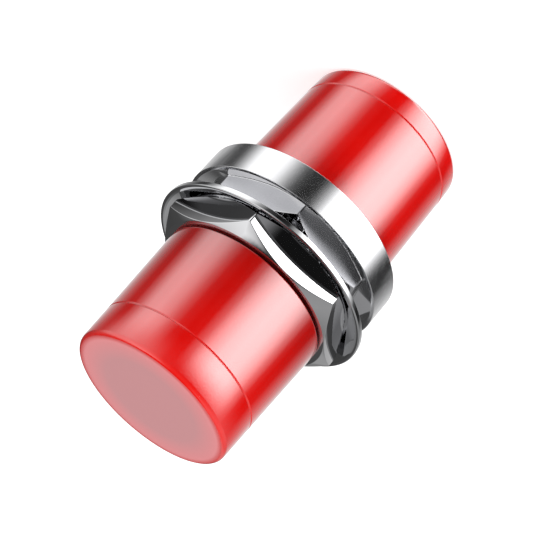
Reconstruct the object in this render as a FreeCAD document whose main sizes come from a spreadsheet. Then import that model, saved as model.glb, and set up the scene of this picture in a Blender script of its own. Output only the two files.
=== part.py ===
import FreeCAD, Part
import os
import re

import Sketcher

# Fiber optic adapter: a turned metal body with a threaded barrel at each end, a slit ceramic sleeve
# inside that holds two plug ferrules in line, a hex panel nut with a dished lock washer, and a red
# dust cap pushed over each barrel. Lengths are millimetres, angles are degrees.
# +Z runs along the axis from the rear cap's closed face, on which the adapter stands, to the front cap.
# Barrels, nut bore and caps are made at the thread's full diameter. The fine thread itself isn't cut.

os.makedirs("parts", exist_ok=True)

# Driving sizes
SIZES = {
    # optical stack, along the axis
    "sleeve_length": 11.4,
    "sleeve_end_play": 0.035,
    "shoulder_thickness": 0.6,
    "socket_depth": 3.9,
    # ceramic sleeve and its chamber
    "sleeve_bore_diameter": 2.5,
    "sleeve_diameter": 3.2,
    "sleeve_slit_width": 0.4,
    "sleeve_lead_in": 0.12,
    "sleeve_float": 0.1,
    "ferrule_hole_diameter": 2.9,
    "ferrule_hole_lead_in": 0.3,
    # threaded barrels
    "thread_diameter": 8.0,
    "thread_lead_in": 0.35,
    "relief_diameter": 7.0,
    "relief_width": 0.55,
    "relief_slope": 45.0,
    "socket_diameter": 6.0,
    "socket_lead_in": 0.2,
    "key_slot_width": 2.15,
    "key_slot_depth": 2.2,
    "rear_barrel_length": 7.56,
    "relief_wall": 0.3,
    "spigot_length": 3.0,
    "spigot_lead_in": 0.25,
    "spigot_fit": 0.01,
    "spigot_end_gap": 0.1,
    # flange and wrench hex
    "flange_diameter": 12.77,
    "flange_thickness": 1.98,
    "flange_edge": 0.08,
    "flange_rim_width": 0.2,
    "flange_dish_angle": 30.0,
    "wrench_width": 9.39,
    "wrench_height": 0.82,
    "wrench_face_diameter": 9.32,
    "wrench_chamfer_angle": 36.0,
    # dished lock washer with inner teeth
    "washer_thickness": 0.35,
    "washer_seat_gap": 0.32,
    "washer_front_rim_diameter": 13.3,
    "washer_bend_clearance": 0.2,
    "washer_dish_angle": 30.0,
    "tooth_count": 12,
    "washer_inner_land": 0.18,
    "tooth_bite": 0.06,
    "tooth_clearance": 0.1,
    "tooth_root_width": 1.9,
    "tooth_tip_width": 1.35,
    "tooth_twist": 11.0,
    "tooth_drop": 0.155,
    # panel nut
    "nut_flats": 6,
    "nut_width": 10.91,
    "nut_thickness": 1.95,
    "nut_face_diameter": 10.86,
    "nut_chamfer_angle": 38.0,
    "nut_thread_fit": 0.03,
    "nut_countersink": 0.3,
    "nut_turn_at_rest": 14.7,
    # dust caps
    "cap_end_wall": 0.75,
    "cap_end_gap": 0.1,
    "cap_seat_gap": 0.1,
    "cap_bore_fit": 0.05,
    "cap_bore_draft_angle": 0.3,
    "cap_seam_diameter": 10.0,
    "front_cap_seam_distance": 2.33,
    "rear_cap_seam_distance": 1.42,
    "cap_seam_width": 0.12,
    "cap_seam_depth": 0.06,
    "cap_draft_angle": 1.45,
    "cap_edge_radius": 0.25,
    "cap_mouth_lead_in": 0.3,
    # how far a cutting outline runs past what it cuts
    "cut_over": 0.6,
}

doc = FreeCAD.newDocument("FiberOpticAdapter")
sheet = doc.addObject("Spreadsheet::Sheet", "Sizes")
for row, (alias, number) in enumerate(SIZES.items(), start=1):
    sheet.set(f"A{row}", alias.replace("_", " "))
    sheet.set(f"B{row}", str(number))
    sheet.setAlias(f"B{row}", alias)
doc.recompute()


def bound(text):
    """a sum written in the sizes' plain names, with each name pointing at its cell"""
    return re.sub(r"[a-z]+(?:_[a-z]+)+", lambda found: "Sizes." + found.group(0), text)


def value(text):
    """what such a sum comes to now"""
    return float(sheet.evalExpression(bound(text)))


# Heights along the axis, from the rear cap's closed face
REAR_BARREL_END = "(cap_end_wall + cap_end_gap)"
FLANGE_REAR = f"({REAR_BARREL_END} + rear_barrel_length)"
STACK_LENGTH = "(2 * (socket_depth + shoulder_thickness + sleeve_end_play) + sleeve_length)"
WRENCH_FACE = f"({FLANGE_REAR} + flange_thickness + wrench_height)"
NUT_REAR = f"({WRENCH_FACE} + washer_seat_gap + washer_thickness)"
NUT_FRONT = f"({NUT_REAR} + nut_thickness)"
FRONT_BARREL_END = f"({REAR_BARREL_END} + {STACK_LENGTH})"
FRONT_CAP_FACE = f"({FRONT_BARREL_END} + cap_end_gap + cap_end_wall)"
REAR_CAP_LENGTH = f"({FLANGE_REAR} - cap_seat_gap)"
FRONT_CAP_LENGTH = f"({FRONT_CAP_FACE} - {NUT_FRONT} - cap_seat_gap)"

# Radii that follow from other sizes
SPIGOT_RADIUS = "(relief_diameter / 2 - relief_wall)"
DISH_RADIUS = "(flange_diameter / 2 - flange_rim_width)"
BEND_RADIUS = "(nut_face_diameter / 2 + washer_bend_clearance)"
TOOTH_ROOT_RADIUS = f"({BEND_RADIUS} - washer_inner_land)"


# Shared ways of making a sub-part
def new_body(label, height, turned_about=None, turned_by=0.0):
    """an empty body that stands at a height on the axis"""
    body = doc.addObject("PartDesign::Body", label)
    body.Label = label
    spot = FreeCAD.Vector(0, 0, value(height))
    turn = FreeCAD.Rotation(turned_about or FreeCAD.Vector(0, 0, 1), turned_by)
    body.Placement = FreeCAD.Placement(spot, turn)
    body.setExpression(".Placement.Base.z", bound(height))
    return body


def outline(body, name, role, corners, lift=None):
    """a closed outline of straight lines on an origin plane, each corner tied to the sizes"""
    sketch = body.newObject("Sketcher::SketchObject", name)
    plane = next(item for item in body.Origin.OriginFeatures if item.Role == role)
    sketch.AttachmentSupport = (plane, [""])
    sketch.MapMode = "FlatFace"
    if lift is not None:
        sketch.setExpression("AttachmentOffset.Base.z", bound(lift))
    spots = [FreeCAD.Vector(value(across), value(up), 0) for across, up in corners]
    for index, spot in enumerate(spots):
        sketch.addGeometry(Part.LineSegment(spot, spots[(index + 1) % len(spots)]), False)
    for index in range(len(spots)):
        following = (index + 1) % len(spots)
        sketch.addConstraint(Sketcher.Constraint("Coincident", index, 2, following, 1))
    for index, (across, up) in enumerate(corners):
        for kind, sum_text in (("DistanceX", across), ("DistanceY", up)):
            tie = Sketcher.Constraint(kind, -1, 1, index, 1, value(sum_text))
            number = sketch.addConstraint(tie)
            sketch.setExpression(f"Constraints[{number}]", bound(sum_text))
    sketch.Visibility = False
    return sketch


def revolved(body, name, corners, cutting=False):
    """a turned form, or a turned cut, from an outline beside the axis"""
    volume_before = body.Shape.Volume if cutting else 0.0
    sketch = outline(body, name + "_outline", "XZ_Plane", corners)
    feature = body.newObject("PartDesign::Groove" if cutting else "PartDesign::Revolution", name)
    feature.Profile = sketch
    feature.ReferenceAxis = (sketch, ["V_Axis"])
    feature.Angle = 360.0
    doc.recompute()
    if cutting and not body.Shape.Volume < volume_before:
        raise ValueError(name + " cut nothing")
    return feature


def hexagon(width):
    """the corners of a hexagon of this width across its flats, with one corner towards -Y"""
    corner = f"{width} / 2 / cos(30)"
    return [(f"{corner} * cos({turn})", f"{corner} * sin({turn})") for turn in range(30, 390, 60)]


def padded_hexagon(body, name, width, lift, height):
    """a hexagonal prism"""
    sketch = outline(body, name + "_outline", "XY_Plane", hexagon(width), lift)
    pad = body.newObject("PartDesign::Pad", name)
    pad.Profile = sketch
    pad.setExpression("Length", bound(height))
    doc.recompute()
    return pad


def corner_chamfer(body, name, width, face_diameter, angle, face_height, facing):
    """the cone that bevels a hexagon's corners; facing is 1 on a face looking up, -1 looking down"""
    outer = f"({width} / 2 / cos(30) + cut_over)"
    drop = f"(({outer} - {face_diameter} / 2) * tan({angle}))"
    corners = [
        (f"{face_diameter} / 2", face_height),
        (outer, face_height),
        (outer, f"{face_height} - {facing} * {drop}"),
    ]
    return revolved(body, name, corners, cutting=True)


def key_slot(body, name, barrel_end, rising):
    """the slot in a barrel's rim for a plug's key; rising is True where the barrel lies above its end"""
    half = "key_slot_width / 2"
    inner = "(socket_diameter / 2 - cut_over)"
    outer = "(thread_diameter / 2 + cut_over)"
    corners = [("-" + half, inner), (half, inner), (half, outer), ("-" + half, outer)]
    volume_before = body.Shape.Volume
    sketch = outline(body, name + "_outline", "XY_Plane", corners, barrel_end)
    pocket = body.newObject("PartDesign::Pocket", name)
    pocket.Profile = sketch
    pocket.Reversed = rising
    pocket.setExpression("Length", bound("key_slot_depth"))
    doc.recompute()
    if not body.Shape.Volume < volume_before:
        raise ValueError(name + " cut nothing")
    return pocket


def rounded_corner(across, up, radius, first, last, faces):
    """corners that run round an edge in equal flat steps, about a centre, from one angle to another"""
    turns = [first + (last - first) * step / faces for step in range(faces + 1)]
    return [(f"{across} + {radius} * cos({turn})", f"{up} + {radius} * sin({turn})") for turn in turns]


def repeated(body, name, feature, count):
    """the feature again all the way round the axis"""
    pattern = body.newObject("PartDesign::PolarPattern", name)
    pattern.Originals = [feature]
    axis = next(item for item in body.Origin.OriginFeatures if item.Role == "Z_Axis")
    pattern.Axis = (axis, [""])
    pattern.Angle = 360.0
    pattern.setExpression("Occurrences", bound(count))
    body.Tip = pattern
    doc.recompute()
    return pattern


# Main body: flange, wrench hex and front barrel turned from one bar, its own zero at the flange's rear face
def make_main_body():
    body = new_body("main_body", FLANGE_REAR)
    dish_depth = f"(({DISH_RADIUS} - thread_diameter / 2) * tan(flange_dish_angle))"
    dish_foot = f"(flange_thickness - {dish_depth})"
    wrench_face = "(flange_thickness + wrench_height)"
    relief_end = f"({wrench_face} + relief_width)"
    relief_step = "((thread_diameter - relief_diameter) / 2 * tan(relief_slope))"
    barrel_end = f"({FRONT_BARREL_END} - {FLANGE_REAR})"
    socket_floor = f"({barrel_end} - socket_depth)"
    chamber_end = f"({socket_floor} - shoulder_thickness)"
    seat_radius = f"({SPIGOT_RADIUS} + spigot_fit)"
    seat_depth = "(spigot_length + spigot_end_gap)"
    chamber_radius = "(sleeve_diameter / 2 + sleeve_float)"
    revolved(body, "turned_form", [
        ("0", "0"),
        ("flange_diameter / 2 - flange_edge", "0"),
        ("flange_diameter / 2", "flange_edge"),
        ("flange_diameter / 2", "flange_thickness - flange_edge"),
        ("flange_diameter / 2 - flange_edge", "flange_thickness"),
        (DISH_RADIUS, "flange_thickness"),
        ("thread_diameter / 2", dish_foot),
        ("thread_diameter / 2", wrench_face),
        ("relief_diameter / 2", wrench_face),
        ("relief_diameter / 2", relief_end),
        ("thread_diameter / 2", f"{relief_end} + {relief_step}"),
        ("thread_diameter / 2", f"{barrel_end} - thread_lead_in"),
        ("thread_diameter / 2 - thread_lead_in", barrel_end),
        ("0", barrel_end),
    ])
    padded_hexagon(body, "wrench_hex", "wrench_width", dish_foot, f"wrench_height + {dish_depth}")
    corner_chamfer(body, "wrench_chamfer", "wrench_width", "wrench_face_diameter", "wrench_chamfer_angle",
                   wrench_face, 1)
    revolved(body, "stepped_bore", [
        ("0", "0"),
        (seat_radius, "0"),
        (seat_radius, seat_depth),
        (chamber_radius, seat_depth),
        (chamber_radius, chamber_end),
        ("ferrule_hole_diameter / 2", chamber_end),
        ("ferrule_hole_diameter / 2", f"{socket_floor} - ferrule_hole_lead_in"),
        ("ferrule_hole_diameter / 2 + ferrule_hole_lead_in", socket_floor),
        ("socket_diameter / 2", socket_floor),
        ("socket_diameter / 2", f"{barrel_end} - socket_lead_in"),
        ("socket_diameter / 2 + socket_lead_in", barrel_end),
        ("0", barrel_end),
    ], cutting=True)
    key_slot(body, "front_key_slot", barrel_end, False)
    return body


# Rear barrel: its spigot is pressed into the body behind the flange, its own zero at the flange's rear face
def make_rear_barrel():
    body = new_body("rear_barrel", FLANGE_REAR)
    relief_step = "((thread_diameter - relief_diameter) / 2 * tan(relief_slope))"
    barrel_end = "(-1 * rear_barrel_length)"
    socket_floor = f"({barrel_end} + socket_depth)"
    chamber_end = f"({socket_floor} + shoulder_thickness)"
    chamber_radius = "(sleeve_diameter / 2 + sleeve_float)"
    revolved(body, "turned_form", [
        (chamber_radius, "spigot_length"),
        (f"{SPIGOT_RADIUS} - spigot_lead_in", "spigot_length"),
        (SPIGOT_RADIUS, "spigot_length - spigot_lead_in"),
        (SPIGOT_RADIUS, "0"),
        ("relief_diameter / 2", "0"),
        ("relief_diameter / 2", "-1 * relief_width"),
        ("thread_diameter / 2", f"-1 * relief_width - {relief_step}"),
        ("thread_diameter / 2", f"{barrel_end} + thread_lead_in"),
        ("thread_diameter / 2 - thread_lead_in", barrel_end),
        ("socket_diameter / 2 + socket_lead_in", barrel_end),
        ("socket_diameter / 2", f"{barrel_end} + socket_lead_in"),
        ("socket_diameter / 2", socket_floor),
        ("ferrule_hole_diameter / 2 + ferrule_hole_lead_in", socket_floor),
        ("ferrule_hole_diameter / 2", f"{socket_floor} + ferrule_hole_lead_in"),
        ("ferrule_hole_diameter / 2", chamber_end),
        (chamber_radius, chamber_end),
    ])
    key_slot(body, "rear_key_slot", barrel_end, True)
    return body


# Alignment sleeve: a slit ceramic tube that floats in its chamber, its own zero at its lower end
def make_alignment_sleeve():
    lower_end = f"({REAR_BARREL_END} + socket_depth + shoulder_thickness + sleeve_end_play)"
    body = new_body("alignment_sleeve", lower_end)
    revolved(body, "sleeve_tube", [
        ("sleeve_bore_diameter / 2 + sleeve_lead_in", "0"),
        ("sleeve_diameter / 2", "0"),
        ("sleeve_diameter / 2", "sleeve_length"),
        ("sleeve_bore_diameter / 2 + sleeve_lead_in", "sleeve_length"),
        ("sleeve_bore_diameter / 2", "sleeve_length - sleeve_lead_in"),
        ("sleeve_bore_diameter / 2", "sleeve_lead_in"),
    ])
    half = "sleeve_slit_width / 2"
    outer = "(sleeve_diameter / 2 + cut_over)"
    volume_before = body.Shape.Volume
    corners = [("-" + half, "0"), (half, "0"), (half, outer), ("-" + half, outer)]
    sketch = outline(body, "slit_outline", "XY_Plane", corners)
    slit = body.newObject("PartDesign::Pocket", "slit")
    slit.Profile = sketch
    slit.Reversed = True
    slit.setExpression("Length", bound("sleeve_length"))
    doc.recompute()
    if not body.Shape.Volume < volume_before:
        raise ValueError("the slit cut nothing")
    return body


# Lock washer: a dished ring with twisted inner teeth, its own zero at the plane that the nut bears on
def make_lock_washer():
    body = new_body("lock_washer", NUT_REAR)
    rim_rise = f"((washer_front_rim_diameter / 2 - {BEND_RADIUS}) * tan(washer_dish_angle))"
    back_rim = "(washer_front_rim_diameter / 2 + washer_thickness * sin(washer_dish_angle))"
    back_rise = f"({rim_rise} - washer_thickness * cos(washer_dish_angle))"
    revolved(body, "dished_ring", [
        (TOOTH_ROOT_RADIUS, "-1 * washer_thickness"),
        (f"{BEND_RADIUS} + washer_thickness * tan(washer_dish_angle / 2)", "-1 * washer_thickness"),
        (back_rim, back_rise),
        ("washer_front_rim_diameter / 2", rim_rise),
        (BEND_RADIUS, "0"),
        (TOOTH_ROOT_RADIUS, "0"),
    ])

    def tooth_section(name, distance, width, drop, twist):
        """the four corners of a tooth's section, at a distance from the axis"""
        middle = "-1 * washer_thickness / 2"
        corners = []
        for side, level in ((-1, -1), (1, -1), (1, 1), (-1, 1)):
            sideways = f"{side} * {width} / 2"
            upwards = f"{level} * washer_thickness / 2"
            corners.append((
                f"({sideways}) * cos({twist}) - ({upwards}) * sin({twist})",
                f"{middle} - {drop} + ({sideways}) * sin({twist}) + ({upwards}) * cos({twist})",
            ))
        return outline(body, name, "XZ_Plane", corners, distance)

    root = tooth_section("tooth_root", f"({TOOTH_ROOT_RADIUS} + tooth_bite)", "tooth_root_width", "0", "0")
    tip = tooth_section("tooth_tip", "(thread_diameter / 2 + tooth_clearance)", "tooth_tip_width",
                        "tooth_drop", "tooth_twist")
    tooth = body.newObject("PartDesign::AdditiveLoft", "tooth")
    tooth.Profile = root
    tooth.Sections = [tip]
    tooth.Ruled = True
    doc.recompute()
    repeated(body, "teeth", tooth, "tooth_count")
    return body


# Panel nut: a turned blank bevelled on both faces, with six milled flats, its own zero at its rear face
def make_panel_nut():
    body = new_body("panel_nut", NUT_REAR, turned_by=value("nut_turn_at_rest"))
    body.setExpression(".Placement.Rotation.Angle", bound("nut_turn_at_rest"))
    bore = "(thread_diameter / 2 + nut_thread_fit)"
    widest = "(nut_face_diameter / 2 + nut_thickness / 2 / tan(nut_chamfer_angle))"
    revolved(body, "turned_blank", [
        (f"{bore} + nut_countersink", "0"),
        ("nut_face_diameter / 2", "0"),
        (widest, "nut_thickness / 2"),
        ("nut_face_diameter / 2", "nut_thickness"),
        (f"{bore} + nut_countersink", "nut_thickness"),
        (bore, "nut_thickness - nut_countersink"),
        (bore, "nut_countersink"),
    ])
    half = "nut_width / 2"
    outer = f"({widest} + cut_over)"
    corners = [(half, "-" + half), (outer, "-" + half), (outer, half), (half, half)]
    volume_before = body.Shape.Volume
    sketch = outline(body, "flat_outline", "XY_Plane", corners)
    flat = body.newObject("PartDesign::Pocket", "flat")
    flat.Profile = sketch
    flat.Reversed = True
    flat.setExpression("Length", bound("nut_thickness"))
    doc.recompute()
    if not body.Shape.Volume < volume_before:
        raise ValueError("the flat cut nothing")
    repeated(body, "flats", flat, "nut_flats")
    return body


# Dust cap: a soft moulded cup with a fine seam near its closed end, its own zero at its closed face
def make_dust_cap(label, length, height, seam_distance, pointing_down):
    turned_by = 180.0 if pointing_down else 0.0
    body = new_body(label, height, FreeCAD.Vector(1, 0, 0), turned_by)
    seam = "(cap_seam_diameter / 2)"
    draft = "tan(cap_draft_angle)"
    bore = "(thread_diameter / 2 + cap_bore_fit)"
    inner_draft = "tan(cap_bore_draft_angle)"
    lead_in_at = f"({length} - cap_mouth_lead_in)"
    lead_in_start = f"({bore} + ({lead_in_at} - cap_end_wall) * {inner_draft})"
    edge_centre = f"({seam} - ({seam_distance} - cap_edge_radius) * {draft} - cap_edge_radius)"
    closed_edge = rounded_corner(edge_centre, "cap_edge_radius", "cap_edge_radius", -90, 0, 3)
    revolved(body, "cup", [
        ("0", "0"),
        *closed_edge,
        (f"{seam} - cap_seam_width / 2 * {draft}", f"{seam_distance} - cap_seam_width / 2"),
        (f"{seam} - cap_seam_depth", seam_distance),
        (f"{seam} + cap_seam_width / 2 * {draft}", f"{seam_distance} + cap_seam_width / 2"),
        (f"{seam} + ({length} - {seam_distance}) * {draft}", length),
        (f"{lead_in_start} + cap_mouth_lead_in", length),
        (lead_in_start, lead_in_at),
        (bore, "cap_end_wall"),
        ("0", "cap_end_wall"),
    ])
    return body


sub_parts = [
    make_main_body(),
    make_rear_barrel(),
    make_alignment_sleeve(),
    make_lock_washer(),
    make_panel_nut(),
    make_dust_cap("front_dust_cap", FRONT_CAP_LENGTH, FRONT_CAP_FACE, "front_cap_seam_distance", True),
    make_dust_cap("rear_dust_cap", REAR_CAP_LENGTH, "0", "rear_cap_seam_distance", False),
]
doc.recompute()

# Nothing is written unless every object is sound
for item in doc.Objects:
    if "Invalid" in item.State or "Error" in item.State:
        raise ValueError(f"{item.Label} failed: {item.State}")
for body in sub_parts:
    if body.Shape.isNull() or not body.Shape.isValid() or len(body.Shape.Solids) != 1:
        raise ValueError(f"{body.Label} isn't one sound solid")
for body in sub_parts:
    body.Shape.exportStep(f"parts/{body.Label}.step")
    box = body.Shape.BoundBox
    print(f"{body.Label}: volume {body.Shape.Volume:.2f}, z {box.ZMin:.3f} to {box.ZMax:.3f}, "
          f"x {box.XMin:.3f} to {box.XMax:.3f}")
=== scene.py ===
# %% [markdown]
# # A fiber optic adapter under its two red dust caps
# The real thing joins two fibre plugs end to end. A turned metal body is screwed to a panel by its hex
# nut and a dished lock washer, and a soft red cap keeps the dust out of each end.
# The engineering model gives every size and every moving body, and is loaded first. It stays as it is.
# Each of its nodes gets a finer skin here, with real rounded edges, real thread and a finish of its own.
# Blender counts in metres. Sizes are written in millimetres and multiplied by MM where they are used.

# %% Load the engineering model
import math

import bmesh
import bpy
from mathutils import Matrix, Quaternion, Vector


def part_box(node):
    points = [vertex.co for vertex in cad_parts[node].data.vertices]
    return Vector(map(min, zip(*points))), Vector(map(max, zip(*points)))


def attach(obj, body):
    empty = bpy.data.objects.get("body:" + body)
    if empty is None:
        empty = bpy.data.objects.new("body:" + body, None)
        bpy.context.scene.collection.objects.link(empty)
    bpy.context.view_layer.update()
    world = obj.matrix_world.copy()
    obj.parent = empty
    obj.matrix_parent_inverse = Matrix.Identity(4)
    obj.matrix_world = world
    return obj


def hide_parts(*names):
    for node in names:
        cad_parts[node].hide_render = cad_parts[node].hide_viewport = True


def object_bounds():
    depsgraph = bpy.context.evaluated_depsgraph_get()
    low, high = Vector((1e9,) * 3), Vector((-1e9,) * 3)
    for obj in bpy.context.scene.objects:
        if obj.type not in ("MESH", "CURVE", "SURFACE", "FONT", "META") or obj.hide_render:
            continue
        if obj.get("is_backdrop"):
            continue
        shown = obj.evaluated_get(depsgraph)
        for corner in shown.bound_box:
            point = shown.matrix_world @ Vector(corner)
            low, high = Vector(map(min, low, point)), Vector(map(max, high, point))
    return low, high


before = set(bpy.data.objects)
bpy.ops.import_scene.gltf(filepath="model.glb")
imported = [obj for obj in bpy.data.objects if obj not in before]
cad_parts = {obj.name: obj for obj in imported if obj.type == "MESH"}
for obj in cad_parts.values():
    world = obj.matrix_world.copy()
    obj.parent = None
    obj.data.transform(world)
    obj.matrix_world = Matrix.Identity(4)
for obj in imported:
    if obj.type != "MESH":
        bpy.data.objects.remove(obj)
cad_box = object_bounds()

MM = 0.001


def ends_of(node):
    """the lowest and the highest point of an engineering node, in millimetres"""
    return [corner[2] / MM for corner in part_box(node)]


# %% [markdown]
# ## The camera
# A long lens keeps the round rims nearly true ellipses. The camera stands in front of the adapter, looks
# 27 degrees down on it, and is rolled so far that the front cap points to the lower left of the picture.
# Position and roll were found by fitting the round rims of the real object, so they are plain numbers.
# The near clip is moved in, because on so small an object the default would cut off its front.

# %% Set up the camera
CAMERA_SPOT = Vector((-11.414, -94.323, 60.113)) * MM
CAMERA_LOOK = Vector((0.107512, 0.883877, -0.455195))
CAMERA_ROLL = math.radians(-138.63)
FILM_WIDTH = 36.0
FOCAL_LENGTH = 129.28
NEAR_CLIP = 0.01
BODY_MIDDLE = Vector((0, 0, 11.5)) * MM

camera_data = bpy.data.cameras.new("picture_camera")
camera_data.sensor_width = FILM_WIDTH
camera_data.lens = FOCAL_LENGTH
camera_data.clip_start = NEAR_CLIP
camera = bpy.data.objects.new("picture_camera", camera_data)
camera.rotation_mode = "QUATERNION"
camera.location = CAMERA_SPOT
camera.rotation_quaternion = CAMERA_LOOK.to_track_quat("-Z", "Y") @ Quaternion((0, 0, 1), CAMERA_ROLL)
bpy.context.scene.collection.objects.link(camera)
bpy.context.scene.camera = camera
bpy.context.scene.view_settings.view_transform = "Standard"
print("camera is", round((camera.location - BODY_MIDDLE).length / MM, 1), "mm from the adapter's middle")

# %% [markdown]
# ## Small helpers for node trees
# A finish is a handful of nodes joined by links. One helper adds a node, sets its plain values and links
# its inputs. Four more stand for the kinds of node that come back all the time, so that each finish below
# reads as a short recipe.

# %% Node helpers
def add(tree, kind, inputs=None, **settings):
    """a new node, with settings on the node itself and values or links on its inputs"""
    node = tree.nodes.new(kind)
    for name, setting in settings.items():
        setattr(node, name, setting)
    for name, source in (inputs or {}).items():
        if isinstance(source, bpy.types.NodeSocket):
            tree.links.new(source, node.inputs[name])
        else:
            node.inputs[name].default_value = source
    return node


def reckon(tree, operation, *terms):
    """one step of arithmetic on numbers or links"""
    return add(tree, "ShaderNodeMath", dict(enumerate(terms)), operation=operation).outputs[0]


def spread(tree, value, start, end, low=0.0, high=1.0, kind="LINEAR"):
    """a value between start and end, mapped to the range from low to high"""
    ranges = {"Value": value, "From Min": start, "From Max": end, "To Min": low, "To Max": high}
    return add(tree, "ShaderNodeMapRange", ranges, interpolation_type=kind).outputs["Result"]


def blend(tree, share, first, second):
    """two colours mixed by a share; the mix node has its colours at places 6 and 7"""
    return add(tree, "ShaderNodeMix", {0: share, 6: first, 7: second}, data_type="RGBA").outputs[2]


def ramp(tree, factor, stops):
    """a colour ramp from stops of (position, colour or grey), and its colour output"""
    node = add(tree, "ShaderNodeValToRGB", {"Fac": factor})
    elements = node.color_ramp.elements
    while len(elements) < len(stops):
        elements.new(0.5)
    for element, (position, colour) in zip(elements, stops):
        element.position = position
        element.color = (*colour, 1.0) if isinstance(colour, tuple) else (colour, colour, colour, 1.0)
    return node.outputs["Color"]


print("node helpers:", [helper.__name__ for helper in (add, reckon, spread, blend, ramp)])

# %% [markdown]
# ## The studio's light bands
# Polished metal has no look of its own: it shows what stands around it. Product studios surround it with
# white panels and a few black flags, and the flags draw the dark bands that make a curve read as metal.
# Here the world plays that part, with upright bands of light and dark in a ring round the object.
# The bands are placed by compass direction about the object's axis, counted from the side the camera
# stands on, so they belong to the room and stay put when the camera walks round.
# There are two rings, because the camera looks down: upright walls send its rays on downwards, to the low
# ring, and faces that point up send them to the high one.

# %% Place the light bands
NEAR_SIDE = math.radians(-96.9)
STRONGEST_PANEL = 4.2

# each stop is a direction in degrees from the near side, clockwise seen from above, and a brightness
LOW_BANDS = [(-180, 1.0), (-150, 0.55), (-130, 0.22), (-118, 0.06), (-108, 0.06), (-98, 0.45), (-84, 1.5),
             (-70, 1.75), (-56, 1.3), (-44, 0.45), (-35, 0.07), (-22, 0.01), (-10, 0.03), (0, 0.6),
             (12, 2.3), (27, 3.8), (42, 4.2), (57, 3.8), (70, 2.45), (81, 0.85), (91, 0.10), (100, 0.02),
             (112, 0.03), (130, 0.33), (155, 0.7), (180, 1.0)]
HIGH_BANDS = [(-180, 0.07), (-165, 0.06), (-150, 0.06), (-138, 0.07), (-120, 0.18), (-104, 0.75),
              (-74, 1.0), (-46, 0.65), (-20, 0.12), (0, 0.05), (30, 0.05), (46, 0.12), (75, 0.33),
              (104, 0.35), (125, 0.25), (137, 0.22), (148, 0.35), (158, 0.35), (168, 0.08), (180, 0.07)]


def stops_of(bands):
    """the bands as a ramp takes them, with positions and brightness both from 0 to 1"""
    return [(degrees / 360 + 0.5, brightness / STRONGEST_PANEL) for degrees, brightness in bands]


print("light bands:", len(LOW_BANDS), "low and", len(HIGH_BANDS), "high stops")

# %% [markdown]
# ## The world
# The low ring changes softly into the high one between 24 and 7 degrees below the horizon. Right overhead
# hangs a black flag that leans somewhat away from the camera's side.
# Only rays that leave a glossy surface see the bands. Rays that leave a dull surface see an even white,
# and the camera sees plain white. So the bands shape the metal and the gloss, and cast no stripes. The
# world isn't sampled as a lamp is, because that would ask for its light before the kind of ray is known.

# %% Build the world
EVEN_STRENGTH = 0.8
# heights in the sky are sines: -1 is straight down, 0 is level and 1 is straight up
CHANGE_START, CHANGE_END = -0.40, -0.12
FLAG_BRIGHTNESS = 0.01
FLAG_LEAN = -0.15
FLAG_START, FLAG_END = 0.90, 0.96
WHITE = (1.0, 1.0, 1.0, 1.0)

world = bpy.data.worlds.new("studio")
bpy.context.scene.world = world
world.use_nodes = True
world.cycles.sampling_method = "NONE"
sky = world.node_tree
sky.nodes.clear()
towards = add(sky, "ShaderNodeTexCoord").outputs["Generated"]
turned = add(sky, "ShaderNodeVectorRotate", {"Vector": towards, "Angle": -NEAR_SIDE}, rotation_type="Z_AXIS")
axes = add(sky, "ShaderNodeSeparateXYZ", {"Vector": turned.outputs["Vector"]}).outputs
compass = reckon(sky, "ARCTAN2", reckon(sky, "MULTIPLY", axes["Y"], -1.0), axes["X"])
share = spread(sky, compass, -math.pi, math.pi)
low = ramp(sky, share, stops_of(LOW_BANDS))
high = ramp(sky, share, stops_of(HIGH_BANDS))
rise = spread(sky, axes["Z"], CHANGE_START, CHANGE_END, kind="SMOOTHSTEP")
lean = reckon(sky, "MULTIPLY_ADD", axes["X"], FLAG_LEAN, axes["Z"])
overhead = spread(sky, lean, FLAG_START, FLAG_END, kind="SMOOTHSTEP")
dark = FLAG_BRIGHTNESS / STRONGEST_PANEL
room = blend(sky, overhead, blend(sky, rise, low, high), (dark, dark, dark, 1.0))
bands = add(sky, "ShaderNodeBackground", {"Color": room, "Strength": STRONGEST_PANEL})
even = add(sky, "ShaderNodeBackground", {"Color": WHITE, "Strength": EVEN_STRENGTH})
plain = add(sky, "ShaderNodeBackground", {"Color": WHITE, "Strength": 1.0})
rays = add(sky, "ShaderNodeLightPath").outputs
polished = reckon(sky, "MAXIMUM", rays["Is Glossy Ray"], rays["Is Transmission Ray"])
lit = add(sky, "ShaderNodeMixShader", {0: polished, 1: even.outputs[0], 2: bands.outputs[0]})
seen = add(sky, "ShaderNodeMixShader", {0: rays["Is Camera Ray"], 1: lit.outputs[0], 2: plain.outputs[0]})
add(sky, "ShaderNodeOutputWorld", {"Surface": seen.outputs[0]})
print("the world is made of", len(sky.nodes), "nodes")

# %% [markdown]
# ## The floor
# The floor is a pale sweep that keeps the soft shadow under the object. To the camera it glows a little,
# so that it comes out white like a product picture's ground without any more light on the object. It is
# hidden from glossy rays, so that the metal reflects the studio bands down to the object's foot.

# %% Lay the floor
FLOOR_HALF = 1.5
FLOOR_PALE = (0.8, 0.8, 0.8, 1.0)
FLOOR_GLOW = 0.5

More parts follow.
